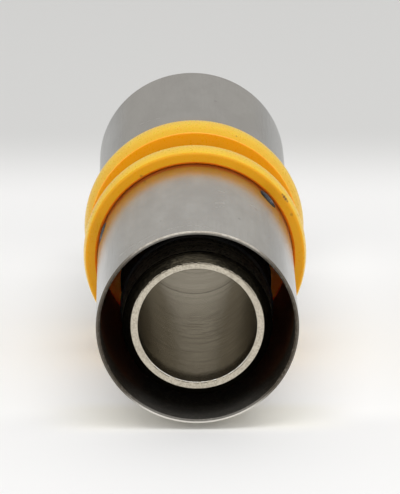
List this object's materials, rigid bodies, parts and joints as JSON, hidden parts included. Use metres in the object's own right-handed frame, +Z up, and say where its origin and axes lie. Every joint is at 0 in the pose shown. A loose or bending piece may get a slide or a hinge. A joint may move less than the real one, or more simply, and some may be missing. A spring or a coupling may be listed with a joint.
{
  "type": "press coupling",
  "caption": "Straight press coupling for multilayer gas pipe: turned body with barbed inserts and O-rings, thin steel press sleeves, yellow plastic holder rings.",
  "frame": {"origin": "centre of the coupling, on its axis, halfway between the two mouths", "axes": "+Y along the coupling's axis from the front mouth to the rear mouth, +Z up as it lies on a table"},
  "size_m": [0.0398, 0.0962, 0.0398],
  "materials": {
    "tinned_brass": "turned and tin-plated, satin grey",
    "stainless_steel": "satin, drawn",
    "yellow_plastic": "moulded, semi-gloss",
    "seal_rubber": "matt black"
  },
  "bodies": {
    "body": {"coupling_body": "tinned_brass", "front_o_ring_outer": "seal_rubber", "front_o_ring_inner": "seal_rubber", "rear_o_ring_outer": "seal_rubber", "rear_o_ring_inner": "seal_rubber"},
    "front_ring": {"front_holder_ring": "yellow_plastic"},
    "rear_ring": {"rear_holder_ring": "yellow_plastic"},
    "front_sleeve": {"front_press_sleeve": "stainless_steel"},
    "rear_sleeve": {"rear_press_sleeve": "stainless_steel"}
  },
  "joints": [
    {"name": "front_ring_spin", "type": "hinge", "parent": "body", "child": "front_ring", "pos_m": [0, -0.00708, 0], "axis": [0, 1, 0], "continuous": true},
    {"name": "rear_ring_spin", "type": "hinge", "parent": "body", "child": "rear_ring", "pos_m": [0, 0.00708, 0], "axis": [0, 1, 0], "continuous": true},
    {"name": "front_sleeve_spin", "type": "hinge", "parent": "front_ring", "child": "front_sleeve", "pos_m": [0, -0.0271, 0], "axis": [0, 1, 0], "continuous": true},
    {"name": "rear_sleeve_spin", "type": "hinge", "parent": "rear_ring", "child": "rear_sleeve", "pos_m": [0, 0.0271, 0], "axis": [0, 1, 0], "continuous": true}
  ]
}
